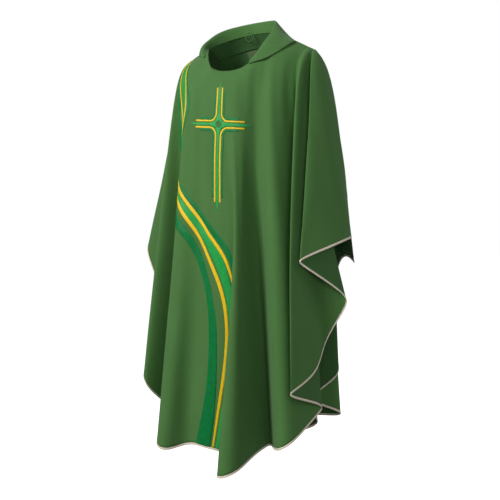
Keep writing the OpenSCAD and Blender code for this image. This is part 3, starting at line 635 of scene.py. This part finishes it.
def seam_piece(name, u_neck, u_end):
    """Seam from the neck along the shoulder, then down the arm to the hem."""
    shoulder = front.point(np.linspace(u_neck, u_end, 60), np.zeros(60))
    arm = front.point(np.full(200, float(u_end)), np.linspace(0.02, HEM, 200))
    p = np.concatenate([shoulder[:-1], arm])
    t = np.gradient(p, axis=0)
    t /= np.linalg.norm(t, axis=1, keepdims=True)
    side = np.tile([0.0, 1.0, 0.0], (len(p), 1))
    side -= t * np.sum(side * t, axis=1, keepdims=True)
    side /= np.linalg.norm(side, axis=1, keepdims=True)
    f = np.cross(side, t)
    return sweep(name, p, side, f, rounded_box(-0.0022, 0.0022, 0.0026), [cloth])


pieces["left_shoulder_seam"] = seam_piece("left_shoulder_seam", FRONT_NECK[1], front.last)
pieces["right_shoulder_seam"] = seam_piece("right_shoulder_seam", FRONT_NECK[0], 0)
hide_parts("shoulder_seam_left")
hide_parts("shoulder_seam_right")

# ---------------------------------------------------------------- embroidered bands
def edges(line):
    """The two edges of a gold line."""
    line = np.asarray(line, float)
    return line[:, :2] - line[:, 2:], line[:, :2] + line[:, 2:]


for side_name, sheet in (("front", front), ("back", back)):
    for part, left, right, mat, across in (
        ("dark_outer", DARK_OUTER_LEFT, DARK_OUTER_RIGHT, dark, 8),
        ("gold_outer", *edges(GOLD_OUTER), gold, 6),
        ("bright", BRIGHT_LEFT, BRIGHT_RIGHT, bright, 8),
        ("gold_inner", *edges(GOLD_INNER), gold, 6),
        ("dark_inner", DARK_INNER_LEFT, DARK_INNER_RIGHT, dark, 8),
    ):
        name = f"{side_name}_{part}_stitching"
        swell = STITCH * (1.5 if mat is gold else 1.0)
        pieces[name] = strip_piece(name, sheet, left, right, 420, across, [mat], swell)
        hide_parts(f"{side_name}_band_{part}")


# ---------------------------------------------------------------- the cross
def find(x, z):
    """Fold line and height step of the chest points at x and z."""
    u, v = np.full(len(x), 12.0), np.full(len(x), 2.0)
    e = 0.02
    for _ in range(9):
        p = front.point(u, v)
        a = (front.point(u + e, v) - p) / e
        b = (front.point(u, v + e) - p) / e
        det = a[:, 0] * b[:, 2] - b[:, 0] * a[:, 2]
        dx, dz = x - p[:, 0], z - p[:, 2]
        u = u + (dx * b[:, 2] - dz * b[:, 0]) / det
        v = v + (dz * a[:, 0] - dx * a[:, 2]) / det
    return u, v


def stitched(name, rows, mat, swell=STITCH):
    """Rows of flat drawing points (x, z), laid on the chest as a domed strip of satin stitch."""
    rows = np.asarray(rows, float)
    n, m = rows.shape[:2]
    x, z = rows[..., 0].ravel(), rows[..., 1].ravel()
    lean = 0.03 * np.maximum(0, -z - 0.1)
    tilt = 0.07 * x
    u, v = find(x + lean, z - tilt - CROSS_DROP)
    s = np.linspace(-1, 1, m)
    h = CLOTH + swell * (0.25 + 0.75 * np.sqrt(np.clip(1 - s**6, 0, 1)))
    top = front.raised(u, v, np.tile(h, n)).reshape(n, m, 3)
    low = front.raised(u, v, CLOTH * 0.5).reshape(n, m, 3)
    along = lengths(top[:, m // 2])
    uv = np.zeros((n, m, 2))
    for i in range(n):
        uv[i, :, 0] = lengths(top[i])
        uv[i, :, 1] = along[i]
    return shell(name, top, low, [mat], uv)


# Centre of the rounded corners, their radius at the gold cord, and the widths of cord and border
CORNER_X, CORNER_Z, CORD_RADIUS = 0.0332, 0.034, 0.024
CORD, BORDER = 0.0055, 0.008


def corner_line(r, rise, out_to):
    """Down beside the upright, round the corner at radius r and out beside the arm."""
    a = np.linspace(0, math.pi / 2, 25)[1:-1]
    down = [(CORNER_X - r, z) for z in np.linspace(rise, CORNER_Z, 60)]
    bend = [(CORNER_X - r * math.cos(t), CORNER_Z - r * math.sin(t)) for t in a]
    over = [(x, CORNER_Z - r) for x in np.linspace(CORNER_X, out_to, 30)]
    return np.array(down + bend + over)


def quarter(name, r0, r1, rise, out_to, sx, sz, mat, swell):
    """Stitching between two corner lines, mirrored into a quarter of the cross by sx and sz."""
    a, b = corner_line(r0, rise, out_to), corner_line(r1, rise, out_to)
    s = np.linspace(0, 1, 7)
    rows = a[:, None] + (b - a)[:, None] * s[None, :, None]
    return stitched(name, rows * (sx, sz), mat, swell)


for high, sz, rise in (("top", 1, ARM_TOP), ("low", -1, ARM_LOW)):
    for hand, sx in (("left", 1), ("right", -1)):
        name = f"cross_gold_{high}_{hand}"
        cut = 0.016 if high == "top" else 0.026
        pieces[name] = quarter(
            name, CORD_RADIUS + CORD / 2, CORD_RADIUS - CORD / 2, rise - cut, ARM_SIDE - 0.019,
            sx, sz, gold, STITCH * 1.6)
        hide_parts(f"gold_cord_{high}_{hand}")
        name = f"cross_border_{high}_{hand}"
        cut = 0.031 if high == "top" else 0.042
        inner = CORD_RADIUS - CORD / 2
        pieces[name] = quarter(
            name, inner, inner - BORDER, rise - cut, ARM_SIDE - 0.034, sx, sz, dark, STITCH)
        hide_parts(f"border_{high}_{hand}")


def arm_rows(tip):
    """Rows across one bright arm, from its pointed tip to the open diamond in the middle."""
    rows = []
    for a in np.linspace(tip, CORNER_Z, 60):
        w = min(0.0046, 0.0005 + (tip - a) * 0.16)
        rows.append([(-w, a), (-w / 2, a), (0, a), (w / 2, a), (w, a)])
    for t in np.linspace(0, 1, 16)[1:]:
        w = CORNER_X - 0.0286 * math.cos(math.pi / 4 * t)
        a = CORNER_Z - 0.028 * math.sin(math.pi / 4 * t)
        side, middle = CORNER_Z - 0.0275 * t, CORNER_Z - 0.021 * t
        rows.append([(-w, a), (-w / 2, side), (0, middle), (w / 2, side), (w, a)])
    rows = np.array(rows)
    fine = np.zeros((len(rows), 9, 2))
    fine[:, ::2] = rows
    fine[:, 1::2] = (rows[:, 1:] + rows[:, :-1]) / 2
    return fine


for hand, tip, turn in (
    ("top", ARM_TOP, lambda r: r),
    ("bottom", ARM_LOW, lambda r: r * (1, -1)),
    ("left", ARM_SIDE, lambda r: r[..., ::-1]),
    ("right", ARM_SIDE, lambda r: r[..., ::-1] * (-1, 1)),
):
    name = f"cross_{hand}_stitching"
    pieces[name] = stitched(name, turn(arm_rows(tip)), bright, STITCH)
    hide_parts(f"cross_arm_{hand}")

# ---------------------------------------------------------------- label and loop
pieces["blank_label"] = sheet_piece(
    "blank_label", back, np.linspace(12.6, 14.6, 30), np.linspace(0.75, 1.05, 14),
    -0.0007, -0.0001, [tape_mat])
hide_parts("neck_label")


def loop_piece():
    """Ring of cord inside the back of the neck."""
    hook = back.point(np.array([13.6]), np.array([0.0]))[0] + (0, -0.004, -0.004)
    a = np.linspace(0, 2 * math.pi, 97)
    spine = hook + np.stack([0.014 * np.cos(a), 0.0008 * np.sin(9 * a), 0.014 * np.sin(a)], 1)
    out_dir = np.stack([np.cos(a), np.zeros(97), np.sin(a)], 1)
    lift = np.tile([0.0, 1.0, 0.0], (97, 1))
    ring = [(0.0015 * math.cos(t), 0.0015 * math.sin(t)) for t in np.linspace(0, 2 * math.pi, 13)[:-1]]
    return sweep("hanging_loop_cord", spine, out_dir, lift, ring, [thread_mat])


pieces["hanging_loop_cord"] = loop_piece()
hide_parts("hanger_loop")


# ---------------------------------------------------------------- rows of stitches
def stitch_row(name, sheet, u, v, h, length=0.0026, gap=0.0012, r=0.00032, mats=(thread_mat,)):
    """Separate small stitches along a curve on a sheet, h above it."""
    p = sheet.raised(u, v, h)
    f = sheet.normal(sheet.point, np.asarray(u, float), np.asarray(v, float))
    s = lengths(p)
    starts = np.arange(0.002, s[-1] - length, length + gap)

    def at(q):
        return np.stack([np.interp(q, s, p[:, c]) for c in range(3)], 1)

    a, b, mid = at(starts), at(starts + length), at(starts + length / 2)
    nrm = np.stack([np.interp(starts + length / 2, s, f[:, c]) for c in range(3)], 1)
    nrm /= np.linalg.norm(nrm, axis=1, keepdims=True)
    t = b - a
    t /= np.linalg.norm(t, axis=1, keepdims=True)
    w = np.cross(t, nrm)
    ring = [mid + w * r, mid + nrm * r, mid - w * r, mid - nrm * r]
    verts = np.stack([a, *ring, b], 1).reshape(-1, 3)
    base = np.arange(len(starts))[:, None] * 6
    tris = []
    for i in range(4):
        j = (i + 1) % 4
        tris += [base + (0, 1 + j, 1 + i), base + (5, 1 + i, 1 + j)]
    uv = np.tile([(0, 0), (0.001, 0.001)], (len(verts) // 2, 1))
    return add_mesh(name, verts, [np.concatenate(tris)], list(mats), uv)


BRAID_ROW = 4.985  # height step of the stitches that hold the braid
for side_name, sheet in (("front", front), ("back", back)):
    name = f"{side_name}_braid_stitches"
    u = np.linspace(0, sheet.last, 900)
    pieces[name] = stitch_row(name, sheet, u, np.full(900, BRAID_ROW), CLOTH + 0.0002)
u = np.linspace(10.2, 18.8, 300)
pieces["neck_stitches"] = stitch_row("neck_stitches", front, u, np.full(300, 0.06), CLOTH + 0.0001)
u = np.linspace(0.05, collar.last - 0.05, 500)
pieces["collar_edge_stitches"] = stitch_row("collar_edge_stitches", collar, u, np.full(500, 2.9), 0.0027)

# ---------------------------------------------------------------- bodies
for name, piece in pieces.items():
    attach(piece, "root")
